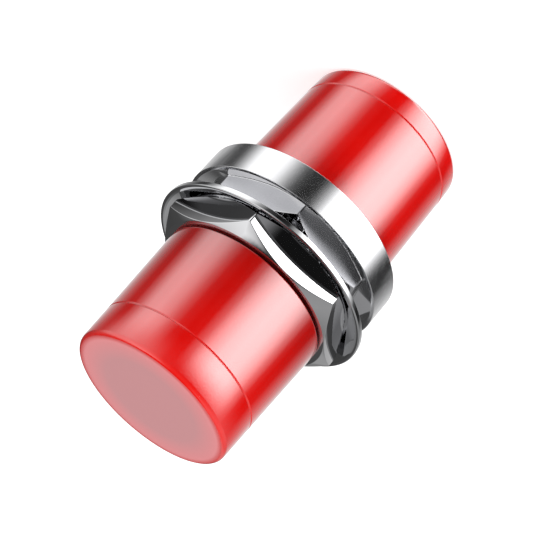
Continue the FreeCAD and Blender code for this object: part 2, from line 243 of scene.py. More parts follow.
floor_corners = [(x * FLOOR_HALF, y * FLOOR_HALF, 0.0) for x, y in ((-1, -1), (1, -1), (1, 1), (-1, 1))]
floor_mesh = bpy.data.meshes.new("floor")
floor_mesh.from_pydata(floor_corners, [], [(0, 1, 2, 3)])
floor = bpy.data.objects.new("floor", floor_mesh)
bpy.context.scene.collection.objects.link(floor)
floor.visible_glossy = False
floor_paint = bpy.data.materials.new("pale_floor")
floor_paint.use_nodes = True
ground = floor_paint.node_tree
ground.nodes.clear()
dull = add(ground, "ShaderNodeBsdfDiffuse", {"Color": FLOOR_PALE})
camera_only = add(ground, "ShaderNodeLightPath").outputs["Is Camera Ray"]
glow_level = reckon(ground, "MULTIPLY", camera_only, FLOOR_GLOW)
glow = add(ground, "ShaderNodeEmission", {"Color": WHITE, "Strength": glow_level})
both = add(ground, "ShaderNodeAddShader", {0: dull.outputs[0], 1: glow.outputs[0]})
add(ground, "ShaderNodeOutputMaterial", {"Surface": both.outputs[0]})
floor_mesh.materials.append(floor_paint)
floor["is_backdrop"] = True
print("the floor reaches", FLOOR_HALF, "m each way")

# %% [markdown]
# ## The lamp
# One wide lamp, high up in front of the object and to one side, shapes the dull surfaces and draws the
# soft shadow. The metal has its bands to reflect, so the lamp itself is hidden from reflections.

# %% Hang the lamp
LAMP_SPOT = Vector((-0.22, -0.20, 0.34))
LAMP_TARGET = Vector((0, 0, 0.01))
LAMP_WIDTH = 0.25
LAMP_POWER = 1.2

lamp_data = bpy.data.lights.new("wide_lamp", "AREA")
lamp_data.shape = "DISK"
lamp_data.size = LAMP_WIDTH
lamp_data.energy = LAMP_POWER
lamp = bpy.data.objects.new("wide_lamp", lamp_data)
lamp.location = LAMP_SPOT
lamp.rotation_mode = "QUATERNION"
lamp.rotation_quaternion = (LAMP_TARGET - LAMP_SPOT).to_track_quat("-Z", "Y")
lamp.visible_glossy = False
bpy.context.scene.collection.objects.link(lamp)
print("the lamp hangs", round((LAMP_SPOT - LAMP_TARGET).length, 2), "m away and gives", LAMP_POWER, "W")

# %% [markdown]
# ## How a turned part becomes a mesh
# Nearly every piece here came off a lathe or out of a round mould, so one idea makes them all: draw the
# half section, ease its corners, and carry it round the axis. A Screw modifier could do that for a plain
# section. A list of columns does more, because the section may change with direction, and that is how a
# hexagon, a bevel cut across its corners or a screw thread comes out of the same few lines.
# Nothing real has a perfectly sharp edge. Each corner gets a small arc of its own, and the mesh remembers
# where the arcs are, so that a finish can show the wear and the brighter polish there.

# %% Ease the corners of a section
ARC_STEPS = 4
SAME_SPOT = 1e-6
NEARLY_STRAIGHT = math.radians(179.5)
ARC_SHARE_OF_SIDE = 0.45


def eased_corner(before, here, after, arc):
    """a corner as a small arc of points, each with how far it is out on the edge, from 0 to 1"""
    to_before, to_after = before - here, after - here
    if min(to_before.length, to_after.length) < SAME_SPOT:
        return [(here, 0.0)] * (ARC_STEPS + 1)
    opening = to_before.angle(to_after)
    longest = ARC_SHARE_OF_SIDE * min(to_before.length, to_after.length)
    reach = min(arc / math.tan(opening / 2), longest)
    start, end = here + to_before.normalized() * reach, here + to_after.normalized() * reach
    shares = [step / ARC_STEPS for step in range(ARC_STEPS + 1)]
    if opening > NEARLY_STRAIGHT:
        return [(start.lerp(end, share), 0.0) for share in shares]
    inwards = (to_before.normalized() + to_after.normalized()).normalized()
    centre = here + inwards * reach / math.cos(opening / 2)
    spoke, last = start - centre, end - centre
    sweep = math.copysign(math.pi - opening, spoke.x * last.y - spoke.y * last.x)
    return [(centre + Matrix.Rotation(sweep * share, 2) @ spoke, math.sin(math.pi * share))
            for share in shares]


def eased(corners, closed=True):
    """a section from corners of (radius, height, arc); a corner whose arc is None stays one plain point"""
    spots = [Vector(corner[:2]) for corner in corners]
    points = []
    for index, (here, corner) in enumerate(zip(spots, corners)):
        open_end = not closed and index in (0, len(corners) - 1)
        if corner[2] is None or open_end:
            points.append((here, 0.0))
        else:
            points += eased_corner(spots[index - 1], here, spots[(index + 1) % len(spots)], corner[2])
    return points


square = eased([(1, 0, 0.1), (2, 0, 0.1), (2, 1, 0.1), (1, 1, 0.1)])
print("a square section with its corners eased has", len(square), "points")

# %% [markdown]
# ## Once round the axis
# A column of points stands at each angle, and neighbouring columns are joined by four-sided faces. The
# angles are even, except at a hexagon's corners, where they crowd together to draw the small round there.
# A thread doesn't meet itself after one turn, it meets its neighbour. So a piece with a thread is drawn to
# the full turn, and the points that fall together there are welded.

# %% Carry a section round the axis
AROUND = 144
CORNER_HALF = math.radians(0.9)
CORNER_STEPS = 3
CORNER_CLEARANCE = 1.4
WELD = 2e-7


def directions(corner_directions=()):
    """angles right round the axis, closer together at a hexagon's corners"""
    angles = [math.tau * step / AROUND for step in range(AROUND)]
    for corner in corner_directions:
        corner %= math.tau
        angles = [angle for angle in angles
                  if abs((angle - corner + math.pi) % math.tau - math.pi) > CORNER_CLEARANCE * CORNER_HALF]
        angles += [(corner + CORNER_HALF * step / CORNER_STEPS) % math.tau
                   for step in range(-CORNER_STEPS, CORNER_STEPS + 1)]
    return sorted(angles)


def skin(name, section_at, angles, closed=True, helical=False):
    """a mesh through the section at every angle; a helical one is drawn to a full turn and then welded"""
    work = bmesh.new()
    worn = work.verts.layers.float.new("worn_edge")
    grid = []
    for angle in list(angles) + ([math.tau] if helical else []):
        column = []
        for spot, wear in section_at(angle):
            across = max(spot.x, 0.0) * MM
            vertex = work.verts.new((across * math.cos(angle), across * math.sin(angle), spot.y * MM))
            vertex[worn] = wear
            column.append(vertex)
        grid.append(column)
    rows = len(grid[0])
    for left, right in zip(grid, grid[1:] + ([] if helical else grid[:1])):
        for row in range(rows if closed else rows - 1):
            after = (row + 1) % rows
            work.faces.new((left[row], right[row], right[after], left[after]))
    bmesh.ops.remove_doubles(work, verts=work.verts, dist=WELD)
    bmesh.ops.recalc_face_normals(work, faces=work.faces)
    open_edges = sum(1 for edge in work.edges if not edge.is_manifold)
    mesh = bpy.data.meshes.new(name)
    work.to_mesh(mesh)
    work.free()
    print(name, "has", len(mesh.polygons), "faces and", open_edges, "open edges")
    return mesh


print("a round piece has", len(directions()), "columns of points")

# %% [markdown]
# ## Cutting and adding
# A key slot, a slit and the washer's teeth aren't round, so they are cut or added with Boolean modifiers
# and the result is kept as plain mesh. Booleans stay few, because each leaves a crease with no arc.

# %% Boolean helpers
def carved(mesh, tool_mesh, operation):
    """the mesh with the tool cut out of it (DIFFERENCE) or joined to it (UNION)"""
    target = bpy.data.objects.new("carve_target", mesh)
    tool = bpy.data.objects.new("carve_tool", tool_mesh)
    for item in (target, tool):
        bpy.context.scene.collection.objects.link(item)
    modifier = target.modifiers.new("carve", "BOOLEAN")
    modifier.operation = operation
    modifier.solver = "EXACT"
    modifier.object = tool
    bpy.context.view_layer.update()
    made = bpy.data.meshes.new_from_object(target.evaluated_get(bpy.context.evaluated_depsgraph_get()))
    made.name = mesh.name
    bpy.data.objects.remove(target)
    bpy.data.objects.remove(tool)
    print(mesh.name, operation.lower(), "leaves", len(made.polygons), "faces")
    return made


def block(name, low_corner, high_corner):
    """a plain box, used only to cut with, from corners in millimetres"""
    size = Vector(high_corner) - Vector(low_corner)
    middle = (Vector(high_corner) + Vector(low_corner)) / 2
    fitted = Matrix.Translation(middle * MM) @ Matrix.Diagonal((*(size * MM), 1))
    work = bmesh.new()
    bmesh.ops.create_cube(work, size=1.0)
    bmesh.ops.transform(work, matrix=fitted, verts=work.verts)
    mesh = bpy.data.meshes.new(name)
    work.to_mesh(mesh)
    work.free()
    return mesh


print("Boolean helpers:", [helper.__name__ for helper in (carved, block)])

# %% [markdown]
# ## Putting a piece in its place
# A finished mesh becomes an object that rides on its moving body and is shown in place of its plain node.
# Faces that meet at less than 42 degrees are shaded as one smooth surface, and the big faces have the
# say in it, so that flats reflect like true flats and only the small arcs between them bend the light.

# %% Place a piece
SMOOTH_BELOW = math.radians(42)


def place(name, mesh, finish, node, body):
    """the finished piece on its body, in place of its plain node"""
    mesh.materials.clear()
    mesh.materials.append(finish)
    mesh.shade_smooth()
    mesh.set_sharp_from_angle(angle=SMOOTH_BELOW)
    piece = bpy.data.objects.new(name, mesh)
    bpy.context.scene.collection.objects.link(piece)
    weighting = piece.modifiers.new("even_shading", "WEIGHTED_NORMAL")
    weighting.keep_sharp = True
    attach(piece, body)
    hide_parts(node)
    print(name, "rides on", body, "in place of", node)

# %% [markdown]
# ## What the finishes share
# Each finish is one Principled shader whose colour, roughness and tilt are driven by patterns. The
# patterns are measured on the piece itself, so they move with it. Their distances are metres, so a pattern
# that changes every millimetre has a fineness of about 1000.
# Rings about the axis come from a noise that is stretched: it changes fast along the radius and the
# height, and hardly at all round the axis.

# %% Finish helpers
ROUND_THE_AXIS = 0.0004


def new_finish(name):
    """an empty finish, its node tree and the one shader in it"""
    finish = bpy.data.materials.new(name)
    finish.use_nodes = True
    return finish, finish.node_tree, finish.node_tree.nodes["Principled BSDF"]


def clouds(tree, spot, fineness, detail):
    """a soft cloudy pattern from 0 to 1"""
    noise = add(tree, "ShaderNodeTexNoise", {"Vector": spot, "Scale": fineness, "Detail": detail})
    return noise.outputs["Fac"]


def distance_from_axis(tree, spot):
    """how far a place on the surface is from the adapter's axis, in metres"""
    level = add(tree, "ShaderNodeVectorMath", {0: spot, 1: (1.0, 1.0, 0.0)}, operation="MULTIPLY").outputs[0]
    return add(tree, "ShaderNodeVectorMath", {0: level}, operation="LENGTH").outputs["Value"]


def lathe_lines(tree, spot, fineness):
    """a pattern of fine rings about the axis"""
    parts = add(tree, "ShaderNodeSeparateXYZ", {"Vector": spot}).outputs
    slow = reckon(tree, "MULTIPLY", reckon(tree, "ARCTAN2", parts["Y"], parts["X"]), ROUND_THE_AXIS)
    rings = {"X": distance_from_axis(tree, spot), "Y": parts["Z"], "Z": slow}
    return clouds(tree, add(tree, "ShaderNodeCombineXYZ", rings).outputs[0], fineness, 3.0)


def worn_edges(tree):
    """1 out on a rounded edge and 0 on the faces, as the mesh remembers it"""
    return add(tree, "ShaderNodeAttribute", attribute_name="worn_edge").outputs["Fac"]


def tilt(tree, shader, pattern, strength, depth):
    """the surface tilted a little by a pattern of this depth in metres"""
    bump = add(tree, "ShaderNodeBump", {"Height": pattern, "Strength": strength, "Distance": depth})
    tree.links.new(bump.outputs[0], shader.inputs["Normal"])


print("finish helpers:", [helper.__name__ for helper in (clouds, lathe_lines, worn_edges, tilt)])

# %% [markdown]
# ## Finish: red moulded plastic
# The caps are a soft plastic with a satin skin. Its red is strong, a shade deeper where the plastic ran
# thicker in the mould, with the fine pebble that a mould leaves and a few rubbed spots on the rims. The red
# is painted lighter towards the closed ends, a painted light, and painted darker down to the metal at the
# front cap's mouth, a painted shade. That is a ramp over the height, which is cheaper and steadier than
# light scattered in the plastic.
# A wide soft sheen comes from the skin's own roughness, and a clear coat keeps the crisp light on top.
# The mould leaves the closed faces matt, and their colour carries a painted pale sheen, palest in their
# middle, with a painted brighter ring just inside the edge.

# %% Choose the reds
ADAPTER_LENGTH = 22.17
THIN_RED = (0.63, 0.002, 0.001)
THICK_RED = (0.70, 0.003, 0.001)
RUBBED_RED = (0.86, 0.06, 0.04, 1.0)
# how strong the red is at a height in millimetres: painted light near the closed ends, painted shade near
# the metal
RED_PAINTED_LIGHT = [(0.5, 1.28), (1.4, 1.1), (4.5, 1.09), (8.3, 1.03), (13.9, 0.68), (16.0, 0.84), (18.0, 0.97),
            (20.0, 1.05), (21.5, 1.1)]
# the painted pale sheen on a closed face, from its middle out to its edge, with a painted brighter ring
# before the red
PAINTED_FACE_SHEEN = [(0.0, (0.64, 0.275, 0.285)), (0.8, (0.83, 0.26, 0.27)), (1.0, (0.66, 0.0035, 0.0015))]
PAINTED_SHEEN_START, PAINTED_SHEEN_END = 3.0 * MM, 4.8 * MM


def with_painted_light(plain_red):
    """ramp stops over the adapter's height, with the painted light and shade in the red part of the colour
    """
    red, green, blue = plain_red
    return [(height / ADAPTER_LENGTH, (red * glow, green, blue)) for height, glow in RED_PAINTED_LIGHT]


print("the red is strongest at", max(RED_PAINTED_LIGHT, key=lambda stop: stop[1])[0], "mm above the floor")


# %% Make the red plastic
def red_plastic():
    """satin red plastic with a clear coat and painted light and shade over its height; its flat closed faces
    are matt, with a painted pale sheen
    """
    finish, tree, shader = new_finish("red_moulded_plastic")
    places = add(tree, "ShaderNodeTexCoord").outputs
    spot = places["Object"]
    height = add(tree, "ShaderNodeSeparateXYZ", {"Vector": spot}).outputs["Z"]
    share = spread(tree, height, 0.0, ADAPTER_LENGTH * MM)
    flow = spread(tree, clouds(tree, spot, 320.0, 3.0), 0.3, 0.7)
    # the thin and thick reds, each carrying the painted light and painted shade over the height
    melt_tone_and_painted_light = blend(tree, flow, ramp(tree, share, with_painted_light(THIN_RED)), ramp(tree, share, with_painted_light(THICK_RED)))
    rubbed = reckon(tree, "MULTIPLY", worn_edges(tree), clouds(tree, spot, 2600.0, 2.0))
    side = blend(tree, reckon(tree, "MULTIPLY", rubbed, 0.22), melt_tone_and_painted_light, RUBBED_RED)

    # a closed face's colour holds a painted pale sheen, with a painted brighter ring near its edge
    square_on = add(tree, "ShaderNodeSeparateXYZ", {"Vector": places["Normal"]}).outputs["Z"]
    closed_face = spread(tree, reckon(tree, "ABSOLUTE", square_on), 0.9, 0.995, kind="SMOOTHSTEP")
    outwards = spread(tree, distance_from_axis(tree, spot), PAINTED_SHEEN_START, PAINTED_SHEEN_END)
    tree.links.new(blend(tree, closed_face, side, ramp(tree, outwards, PAINTED_FACE_SHEEN)), shader.inputs["Base Color"])

    satin = spread(tree, clouds(tree, spot, 1400.0, 4.0), 0.0, 1.0, 0.05, 0.08)
    dullness = add(tree, "ShaderNodeMix", {0: closed_face, 2: satin, 3: 0.5}).outputs[0]
    tree.links.new(dullness, shader.inputs["Roughness"])
    tree.links.new(spread(tree, closed_face, 0.0, 1.0, 0.05, 0.5), shader.inputs["Coat Roughness"])
    tilt(tree, shader, clouds(tree, spot, 7000.0, 2.0), 0.10, 0.03 * MM)
    shader.inputs["IOR"].default_value = 1.8
    shader.inputs["Coat Weight"].default_value = 1.0
    shader.inputs["Coat IOR"].default_value = 1.8
    return finish


RED = red_plastic()
print("the red plastic is made of", len(RED.node_tree.nodes), "nodes")

# %% [markdown]
# ## Finish: bright nickel plating
# Plated turned metal is nearly a mirror. What gives it away are hairlines that run round with the lathe,
# faint cloudy smears from handling, and edges that the polishing wheel left a touch brighter.
# The body's flats and its dished face are bright, while the band round its rim keeps a silkier turned
# skin, so its roughness is set by the distance from the axis.
# The nut and the washer are tumbled smoother than the body, so they have settings of their own.

# %% Make the plated metals
NICKEL_TINT = (0.80, 0.80, 0.815)
STEEL_TINT = (0.76, 0.765, 0.78)
HAIRLINES = 22000.0
HAIRLINE_DEPTH = 0.0006 * MM
RIM_STEP = 0.05


def plated(name, tint, clean, smeared, line_strength, silky_rim=None):
    """bright plating: its tint, its roughness where clean and where smeared, and how strong its hairlines
    are; a silky rim is a radius in millimetres and the roughness outside it"""
    finish, tree, shader = new_finish(name)
    spot = add(tree, "ShaderNodeTexCoord").outputs["Object"]
    smear = clouds(tree, spot, 450.0, 5.0)
    metal = ramp(tree, smear, [(0.3, tuple(0.96 * part for part in tint)), (0.7, tint)])
    bright = tuple(min(1.0, 1.1 * part) for part in tint)
    tree.links.new(blend(tree, worn_edges(tree), metal, (*bright, 1.0)), shader.inputs["Base Color"])
    dullness = spread(tree, smear, 0.0, 1.0, clean, smeared)
    if silky_rim:
        rim_radius, rim_dullness = silky_rim
        rim = spread(tree, distance_from_axis(tree, spot), (rim_radius - RIM_STEP) * MM, rim_radius * MM)
        dullness = add(tree, "ShaderNodeMix", {0: rim, 2: dullness, 3: rim_dullness}).outputs[0]
    tree.links.new(dullness, shader.inputs["Roughness"])
    tilt(tree, shader, lathe_lines(tree, spot, HAIRLINES), line_strength, HAIRLINE_DEPTH)
    shader.inputs["Metallic"].default_value = 1.0
    return finish


NICKEL = plated("bright_nickel_plating", NICKEL_TINT, 0.05, 0.08, 0.05, (6.3, 0.18))
NUT_NICKEL = plated("nut_nickel_plating", NICKEL_TINT, 0.014, 0.024, 0.01)
SPRING_STEEL = plated("plated_spring_steel", STEEL_TINT, 0.025, 0.04, 0.03)
print("plated metals:", [metal.name for metal in (NICKEL, NUT_NICKEL, SPRING_STEEL)])

# %% [markdown]
# ## Finish: ground ceramic
# The sleeve inside is white zirconia. It is ground, so it has a soft shine, a slight warmth and a trace of
# light under its surface.

# %% Make the ceramic
CERAMIC_SHADES = [(0.3, (0.84, 0.82, 0.77)), (0.7, (0.90, 0.89, 0.85))]
GRINDING_LINES = 18000.0
GRINDING_DEPTH = 0.003 * MM


def ground_ceramic():
    """warm white with a soft shine, ground lines and a little light under its surface"""
    finish, tree, shader = new_finish("ground_white_ceramic")
    spot = add(tree, "ShaderNodeTexCoord").outputs["Object"]
    grain = clouds(tree, spot, 900.0, 4.0)
    tree.links.new(ramp(tree, grain, CERAMIC_SHADES), shader.inputs["Base Color"])
    tree.links.new(spread(tree, grain, 0.0, 1.0, 0.18, 0.28), shader.inputs["Roughness"])
    tilt(tree, shader, lathe_lines(tree, spot, GRINDING_LINES), 0.2, GRINDING_DEPTH)
    shader.inputs["Subsurface Weight"].default_value = 0.15
    shader.inputs["Subsurface Radius"].default_value = (0.0004, 0.0003, 0.0002)
    shader.inputs["Subsurface Scale"].default_value = 1.0
    return finish


CERAMIC = ground_ceramic()
print("finishes:", [item.name for item in bpy.data.materials])

# %% [markdown]
# ## The dust caps
# Each cap is a moulded cup. It widens a little towards its mouth so that it leaves the mould, carries a
# hair-fine seam a little way from its closed end, and has a full round on the closed end's edge.
# A cup is the plainest section of all: start on the axis at the closed face, walk out, up the side over
# the seam, round the lip, and back down the bore to the axis. Both caps use it, one of them upside down.

# %% Draw a cap's section
CAP_SEAM_RADIUS = 5.0
CAP_SEAM_HALF = 0.06
CAP_SEAM_DEPTH = 0.05
CAP_DRAFT = math.tan(math.radians(1.45))
CAP_BORE = 4.05
CAP_BORE_LEAD = 0.3
CAP_WALL = 0.75
CAP_DISH = 0.03
CAP_DISH_EDGE, CAP_FACE_EDGE = 0.55, 0.86


def cap_section(closed_face, direction, length, seam_at):
    """the cup's half section, from the closed face on the axis round to the inside of the end wall"""
    def up(distance):
        return closed_face + direction * distance

    face = CAP_SEAM_RADIUS - seam_at * CAP_DRAFT
    mouth = CAP_SEAM_RADIUS + (length - seam_at) * CAP_DRAFT
    return eased([
        (0.0, up(CAP_DISH), None),
        (CAP_DISH_EDGE * face, up(CAP_DISH), 1.5),
        (CAP_FACE_EDGE * face, up(0.0), 0.8),
        (face, up(0.0), 0.28),
        (CAP_SEAM_RADIUS, up(seam_at - CAP_SEAM_HALF), 0.02),
        (CAP_SEAM_RADIUS - CAP_SEAM_DEPTH, up(seam_at), 0.012),
        (CAP_SEAM_RADIUS, up(seam_at + CAP_SEAM_HALF), 0.02),
        (mouth, up(length), 0.10),
        (CAP_BORE + CAP_BORE_LEAD, up(length), 0.06),
        (CAP_BORE, up(length - CAP_BORE_LEAD), 0.15),
        (CAP_BORE, up(CAP_WALL), 0.3),
        (0.0, up(CAP_WALL), None),
    ], closed=False)


print("a cap widens by", round(CAP_DRAFT, 3), "mm for each millimetre towards its mouth")


# %% Mould both caps
FRONT_SEAM_AT = 2.33
REAR_SEAM_AT = 1.42


def mould_cap(name, node, body, seam_at, closed_at_top):
    """a red cap that fills its engineering node's height"""
    low_end, high_end = ends_of(node)
    closed_face, direction = (high_end, -1) if closed_at_top else (low_end, 1)
    section = cap_section(closed_face, direction, high_end - low_end, seam_at)
    cup = skin(name, lambda angle: section, directions(), closed=False)
    place(name, cup, RED, node, body)


mould_cap("front_cap_moulding", "front_dust_cap", "front_cap", FRONT_SEAM_AT, closed_at_top=True)
mould_cap("rear_cap_moulding", "rear_dust_cap", "rear_cap", REAR_SEAM_AT, closed_at_top=False)

# %% [markdown]
# ## The screw thread
# The barrels and the nut share one fine thread, 0.75 mm from crest to crest. Rows of points that climb
# with the direction round the axis follow the helix exactly, so crests and roots stay clean lines.
# Where the rows run past an end of the thread they are held there and welded together.
# Each barrel's thread tapers in at its mouth, so that a plug's nut starts easily, and dies out in a plain
# relief groove at its foot, where the cutting tool had room to stop.

# %% Describe the thread
PITCH = 0.75
CREST_RADIUS = 3.98
ROOT_RADIUS = 3.54
RELIEF_RADIUS = 3.5
RELIEF_WIDTH = 0.55
THREAD_ZERO = 12.0
# one pitch of the profile: a share of the way up, and the depth there from 0 at the root to 1 at the crest
THREAD_SHAPE = [(0.0, 0.0), (0.09, 0.0), (0.15, 0.07), (0.43, 0.94), (0.465, 1.0), (0.535, 1.0),
                (0.57, 0.94), (0.85, 0.07), (0.91, 0.0), (1.0, 0.0)]


def thread_depth(phase):
    """how far out the thread stands at this share of a pitch, from 0 at the root to 1 at the crest"""
    phase %= 1.0
    for (left, low_depth), (right, high_depth) in zip(THREAD_SHAPE, THREAD_SHAPE[1:]):
        if phase <= right:
            return low_depth + (high_depth - low_depth) * (phase - left) / (right - left)
    return 0.0


def thread_rows(angle, start, end, radius_at):
    """points up a thread at one direction; radius_at turns a depth and a height into a radius"""
    turn = angle / math.tau
    first = math.floor((start - THREAD_ZERO) / PITCH) - 1
    last = math.ceil((end - THREAD_ZERO) / PITCH) + 1
    rows = []
    for count in range(first, last):
        for phase, _ in THREAD_SHAPE[:-1]:
            height = THREAD_ZERO + PITCH * (count + phase + turn)
            held = min(max(height, start), end)
            depth = thread_depth((held - THREAD_ZERO) / PITCH - turn)
            rows.append((radius_at(depth, held), held, None))
    return rows


def barrel_radius(mouth, direction, groove):
    """an outside thread that tapers to its root at the barrel's mouth and rises out of its relief groove"""
    def radius_at(depth, height):
        full = ROOT_RADIUS + (CREST_RADIUS - ROOT_RADIUS) * depth
        lead_in = ROOT_RADIUS + (mouth - height) * direction
        run_out = RELIEF_RADIUS + (height - groove) * direction
        return min(full, max(lead_in, ROOT_RADIUS), max(run_out, RELIEF_RADIUS))
    return radius_at


print("the thread climbs", PITCH, "mm a turn and is", round(CREST_RADIUS - ROOT_RADIUS, 2), "mm deep")

# %% [markdown]
# ## Hexagons
# A hexagon is a circle whose radius changes with direction. Its corners aren't knife edges either: the
# radius follows a small arc there. A bevel across the corners is a cone, so the height of the side's top
# edge falls as the radius grows, which draws the curved edge that every nut has.

# %% Describe a hexagon
SIXTH = math.radians(60)


def hex_radius(angle, first_corner, width, rounding):
    """from the axis to a hexagon's side in this direction; width is across the flats"""
    from_flat = (angle - first_corner) % SIXTH - SIXTH / 2
    half = width / 2
    if half * math.tan(abs(from_flat)) <= (half - rounding) * math.tan(SIXTH / 2):
        return half / math.cos(from_flat)
    corner = (half - rounding) / math.cos(SIXTH / 2)
    aside = SIXTH / 2 - abs(from_flat)
    return corner * math.cos(aside) + math.sqrt(max(rounding ** 2 - (corner * math.sin(aside)) ** 2, 0.0))


def corners_of(first_corner):
    """the directions of a hexagon's six corners"""
    return [first_corner + math.radians(60 * step) for step in range(6)]


print("a 10 mm hexagon is", round(2 * hex_radius(0.0, 0.0, 10.0, 0.15), 2), "mm across its eased corners")

# %% [markdown]
# ## The plug's socket
# Both barrels have the same socket, so it is described once. From its mouth the bore steps down to the
# narrow hole that a ferrule passes, and opens again into the sleeve's chamber. A slot in the barrel's wall
# takes the key that stops a plug from turning. It is one straight cut, a little longer than the barrel's
# wall at every open side, so that the Boolean never has to split two faces that lie on each other.

# %% Describe the socket
SOCKET_RADIUS = 3.0
SOCKET_DEPTH = 3.9
SOCKET_LEAD = 0.2
FERRULE_HOLE = 1.45
FERRULE_LEAD = 0.3
SHOULDER = 0.6
CHAMBER_RADIUS = 1.7
KEY_SLOT_HALF = 1.075
KEY_SLOT_DEPTH = 2.2
KEY_SLOT_INNER, KEY_SLOT_OUTER = 2.4, 5.0
OVERCUT = 1.0


def socket_corners(mouth, inwards):
    """the bore from a barrel's mouth down to the chamber; inwards is 1 up the axis and -1 down it"""
    bottom = mouth + inwards * SOCKET_DEPTH
    return [
        (SOCKET_RADIUS + SOCKET_LEAD, mouth, 0.04),
        (SOCKET_RADIUS, mouth + inwards * SOCKET_LEAD, 0.05),
        (SOCKET_RADIUS, bottom, 0.06),
        (FERRULE_HOLE + FERRULE_LEAD, bottom, 0.04),
        (FERRULE_HOLE, bottom + inwards * FERRULE_LEAD, 0.05),
        (FERRULE_HOLE, bottom + inwards * SHOULDER, 0.04),
        (CHAMBER_RADIUS, bottom + inwards * SHOULDER, 0.04),
    ]


def with_key_slot(barrel, mouth, inwards):
    """the barrel with the slot for a plug's key cut into the wall at its mouth"""
    low, high = sorted((mouth - inwards * OVERCUT, mouth + inwards * KEY_SLOT_DEPTH))
    cutter = block("key_slot", (-KEY_SLOT_HALF, KEY_SLOT_INNER, low), (KEY_SLOT_HALF, KEY_SLOT_OUTER, high))
    return carved(barrel, cutter, "DIFFERENCE")


print("the socket is", 2 * SOCKET_RADIUS, "mm wide and", SOCKET_DEPTH, "mm deep")

# %% [markdown]
# ## The main body
# Flange, wrench hexagon and front barrel are turned from one bar, bored from both sides. Behind the nut's
# washer the bar keeps six flats, for a wrench or for a panel hole that stops it from turning. The flange's
# front face is dished down to the foot of the hexagon, so that only its rim bears on a panel.

# %% Give the main body its sizes
BODY_LOW, BODY_HIGH = ends_of("main_body")
FLANGE_RADIUS = 6.385
FLANGE_FRONT = BODY_LOW + 1.98
DISH_RADIUS = 6.185
DISH_SLOPE = math.tan(math.radians(30))
WRENCH_WIDTH = 9.39
WRENCH_FACE = FLANGE_FRONT + 0.82
WRENCH_FACE_RADIUS = 4.66
WRENCH_BEVEL = math.tan(math.radians(36))
WRENCH_CORNER = math.radians(-90)
WRENCH_CORNER_ROUND = 0.15
SEAT_RADIUS = 3.21
SEAT_END = BODY_LOW + 3.1
print("the body is", round(BODY_HIGH - BODY_LOW, 2), "mm long, its flange", 2 * FLANGE_RADIUS, "mm across")


# %% Turn the main body
def body_section(angle):
    """the body's half section: flange, dish, wrench hexagon, thread, and the bore back down"""
    side = hex_radius(angle, WRENCH_CORNER, WRENCH_WIDTH, WRENCH_CORNER_ROUND)
    dish_foot = FLANGE_FRONT - (DISH_RADIUS - side) * DISH_SLOPE
    groove_end = WRENCH_FACE + RELIEF_WIDTH
    return eased([
        (SEAT_RADIUS, BODY_LOW, 0.05),
        (FLANGE_RADIUS, BODY_LOW, 0.06),
        (FLANGE_RADIUS, FLANGE_FRONT, 0.035),
        (DISH_RADIUS, FLANGE_FRONT, 0.03),
        (side, dish_foot, 0.05),
        (side, WRENCH_FACE - (side - WRENCH_FACE_RADIUS) * WRENCH_BEVEL, 0.05),
        (WRENCH_FACE_RADIUS, WRENCH_FACE, 0.03),
        (RELIEF_RADIUS, WRENCH_FACE, 0.05),
        (RELIEF_RADIUS, groove_end, None),
        *thread_rows(angle, groove_end, BODY_HIGH, barrel_radius(BODY_HIGH, 1, groove_end)),
        *socket_corners(BODY_HIGH, -1),
        (CHAMBER_RADIUS, SEAT_END, 0.04),
        (SEAT_RADIUS, SEAT_END, 0.05),
    ])


body_mesh = skin("flanged_body", body_section, directions(corners_of(WRENCH_CORNER)), helical=True)
body_mesh = with_key_slot(body_mesh, BODY_HIGH, -1)
place("flanged_body", body_mesh, NICKEL, "main_body", "body")

# %% [markdown]
# ## The rear barrel
# The rear barrel is the front one's twin, turned by itself and pressed into the back of the flange by a
# plain spigot. Being separate is what lets the ceramic sleeve be put in.

# %% Turn the rear barrel
REAR_END, SPIGOT_END = ends_of("rear_barrel")
SPIGOT_RADIUS = 3.2
SPIGOT_LEAD = 0.25


def rear_barrel_section(angle):
    """the barrel's half section: spigot, relief groove, thread down to the mouth, and the bore back up"""
    groove_end = BODY_LOW - RELIEF_WIDTH
    thread = thread_rows(angle, REAR_END, groove_end, barrel_radius(REAR_END, -1, groove_end))
    return eased([
        (CHAMBER_RADIUS, SPIGOT_END, 0.05),
        (SPIGOT_RADIUS - SPIGOT_LEAD, SPIGOT_END, 0.05),
        (SPIGOT_RADIUS, SPIGOT_END - SPIGOT_LEAD, 0.08),
        (SPIGOT_RADIUS, BODY_LOW, 0.02),
        (RELIEF_RADIUS, BODY_LOW, 0.03),
        (RELIEF_RADIUS, groove_end, None),
        *reversed(thread),
        *socket_corners(REAR_END, 1),
    ])


rear_mesh = skin("rear_threaded_barrel", rear_barrel_section, directions(), helical=True)
rear_mesh = with_key_slot(rear_mesh, REAR_END, 1)
place("rear_threaded_barrel", rear_mesh, NICKEL, "rear_barrel", "body")

# %% [markdown]
# ## The alignment sleeve
# A thin ceramic tube, slit from end to end so that it can open a hair and grip both ferrules. The slit's
# sides are parallel, so a straight block cuts it.

# %% Grind the sleeve
SLEEVE_LOW, SLEEVE_HIGH = ends_of("alignment_sleeve")
SLEEVE_RADIUS = 1.6
SLEEVE_BORE = 1.25
SLEEVE_LEAD = 0.12
SLIT_HALF = 0.2
SLIT_OUTER = 2.5

